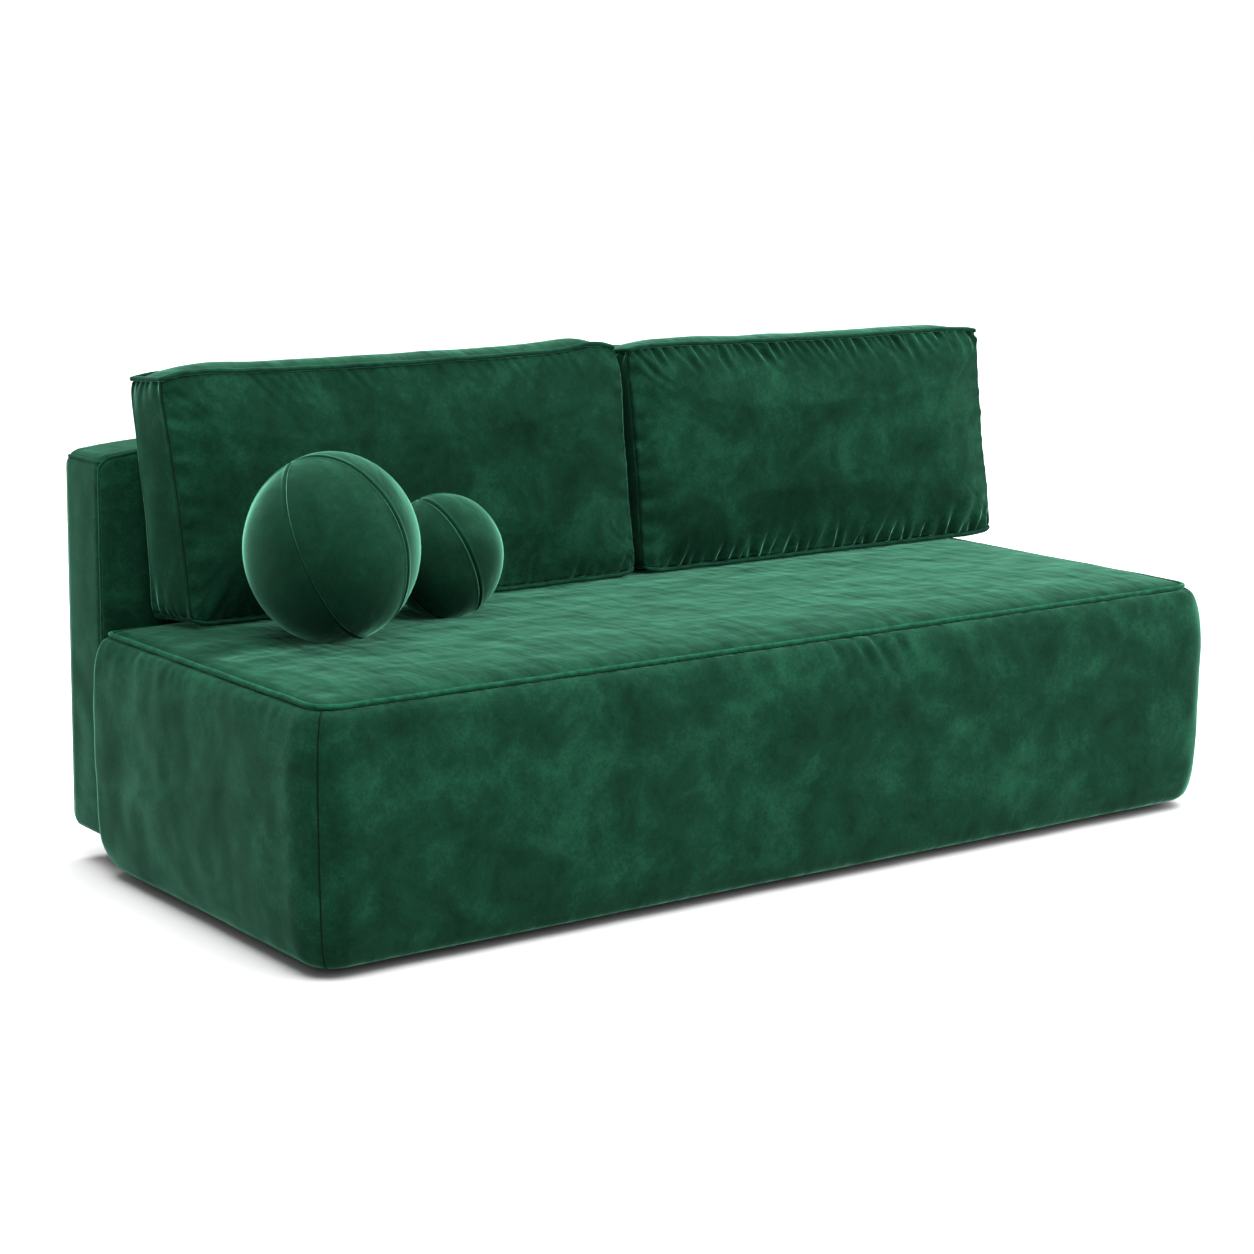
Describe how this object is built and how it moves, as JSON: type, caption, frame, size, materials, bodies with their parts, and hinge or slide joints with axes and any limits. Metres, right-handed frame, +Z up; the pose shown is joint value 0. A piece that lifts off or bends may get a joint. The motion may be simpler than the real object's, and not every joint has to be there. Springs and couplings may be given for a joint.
{
  "type": "pull-out sofa bed",
  "caption": "Armless velvet sofa bed: a piped, padded seat block rolls forward over a bedding box and a full-height back slab folds down behind it; loose back cushions and ball cushions.",
  "frame": {"origin": "on the floor under the middle of the sofa, as it stands with its back up and its seat in", "axes": "+X to the right along the sofa's length as seen from the front, +Y to the rear, +Z up"},
  "size_m": [2.0098, 0.9569, 0.9147],
  "materials": {
    "velvet": "emerald green short-pile velvet over padding",
    "pine": "planed, unvarnished softwood",
    "plywood": "sanded birch plywood",
    "foam": "cut upholstery foam",
    "steel": "zinc-plated pressed steel",
    "plastic": "moulded black plastic"
  },
  "bodies": {
    "base": {"base_centre_board": "plywood", "base_front_rail": "plywood", "base_left_side": "plywood", "base_rear_rail": "plywood", "base_right_side": "plywood", "box_floor": "plywood", "front_left_foot": "plastic", "front_right_foot": "plastic", "rear_left_foot": "plastic", "rear_right_foot": "plastic", "left_guide_rail": "pine", "right_guide_rail": "pine", "left_hinge_bracket": "steel", "right_hinge_bracket": "steel", "left_hinge_pin": "steel", "right_hinge_pin": "steel", "left_stay_bracket": "steel", "right_stay_bracket": "steel"},
    "back": {"back_border": "velvet", "back_bottom_rail": "pine", "back_front_pad": "velvet", "back_left_stile": "pine", "back_rear_pad": "velvet", "back_right_stile": "pine", "back_top_rail": "pine", "left_hinge_plate": "steel", "right_hinge_plate": "steel"},
    "left_rear_stay": {"left_rear_arm": "steel"},
    "left_front_stay": {"left_front_arm": "steel"},
    "right_rear_stay": {"right_rear_arm": "steel"},
    "right_front_stay": {"right_front_arm": "steel"},
    "seat": {"front_board": "plywood", "left_board": "plywood", "right_board": "plywood", "seat_cross_rail": "pine", "seat_deck": "plywood", "seat_foam": "foam", "seat_left_rail": "pine", "seat_piping": "velvet", "seat_rear_rail": "pine", "seat_right_rail": "pine", "seat_top_pad": "velvet", "front_skirt": "velvet", "left_skirt": "velvet", "right_skirt": "velvet", "left_stay_stud": "steel", "right_stay_stud": "steel", "left_castor_housing": "plastic", "right_castor_housing": "plastic", "left_roller_bracket": "steel", "right_roller_bracket": "steel"},
    "left_castor": {"left_castor_wheel": "plastic"},
    "right_castor": {"right_castor_wheel": "plastic"},
    "left_guide_roller": {"left_roller": "plastic"},
    "right_guide_roller": {"right_roller": "plastic"},
    "left_cushion": {"left_back_cushion": "velvet"},
    "right_cushion": {"right_back_cushion": "velvet"},
    "large_ball": {"large_ball_cushion": "velvet"},
    "small_ball": {"small_ball_cushion": "velvet"}
  },
  "joints": [
    {"name": "back_fold", "type": "hinge", "parent": "base", "child": "back", "pos_m": [0, 0.2815, 0.249], "axis": [1, 0, 0], "range_deg": [0, 90]},
    {"name": "left_rear_stay_turn", "type": "hinge", "parent": "base", "child": "left_rear_stay", "pos_m": [-0.8167, 0.2165, 0.2667], "axis": [0, 0, 1], "range_deg": [-72, 0]},
    {"name": "left_knee_turn", "type": "hinge", "parent": "left_rear_stay", "child": "left_front_stay", "pos_m": [-0.41893, 0.08726, 0.272], "axis": [0, 0, 1], "range_deg": [0, 144]},
    {"name": "seat_stud_turn", "type": "hinge", "parent": "left_front_stay", "child": "seat", "pos_m": [-0.8167, -0.04199, 0.272], "axis": [0, 0, 1], "range_deg": [-72, 0]},
    {"name": "right_rear_stay_turn", "type": "hinge", "parent": "base", "child": "right_rear_stay", "pos_m": [0.8167, 0.2165, 0.2667], "axis": [0, 0, 1], "range_deg": [0, 72]},
    {"name": "right_knee_turn", "type": "hinge", "parent": "right_rear_stay", "child": "right_front_stay", "pos_m": [0.41893, 0.08726, 0.272], "axis": [0, 0, 1], "range_deg": [-144, 0]},
    {"name": "left_castor_spin", "type": "hinge", "parent": "seat", "child": "left_castor", "pos_m": [-0.8117, -0.3739, 0.02], "axis": [1, 0, 0], "continuous": true},
    {"name": "right_castor_spin", "type": "hinge", "parent": "seat", "child": "right_castor", "pos_m": [0.8117, -0.3739, 0.02], "axis": [1, 0, 0], "continuous": true},
    {"name": "left_roller_spin", "type": "hinge", "parent": "seat", "child": "left_guide_roller", "pos_m": [-0.893, 0.2565, 0.2203], "axis": [1, 0, 0], "continuous": true},
    {"name": "right_roller_spin", "type": "hinge", "parent": "seat", "child": "right_guide_roller", "pos_m": [0.893, 0.2565, 0.2203], "axis": [1, 0, 0], "continuous": true},
    {"name": "left_cushion_lift", "type": "slide", "parent": "seat", "child": "left_cushion", "axis": [0, 0, 1], "range_m": [0, 0.5]},
    {"name": "right_cushion_lift", "type": "slide", "parent": "seat", "child": "right_cushion", "axis": [0, 0, 1], "range_m": [0, 0.5]},
    {"name": "large_ball_lift", "type": "slide", "parent": "seat", "child": "large_ball", "axis": [0, 0, 1], "range_m": [0, 0.5]},
    {"name": "small_ball_lift", "type": "slide", "parent": "seat", "child": "small_ball", "axis": [0, 0, 1], "range_m": [0, 0.5]}
  ],
  "couplings": [
    {"joint": "left_rear_stay_turn", "follows": "back_fold", "ratio": -0.8},
    {"joint": "left_knee_turn", "follows": "back_fold", "ratio": 1.6},
    {"joint": "seat_stud_turn", "follows": "back_fold", "ratio": -0.8},
    {"joint": "right_rear_stay_turn", "follows": "back_fold", "ratio": 0.8},
    {"joint": "right_knee_turn", "follows": "back_fold", "ratio": -1.6}
  ]
}
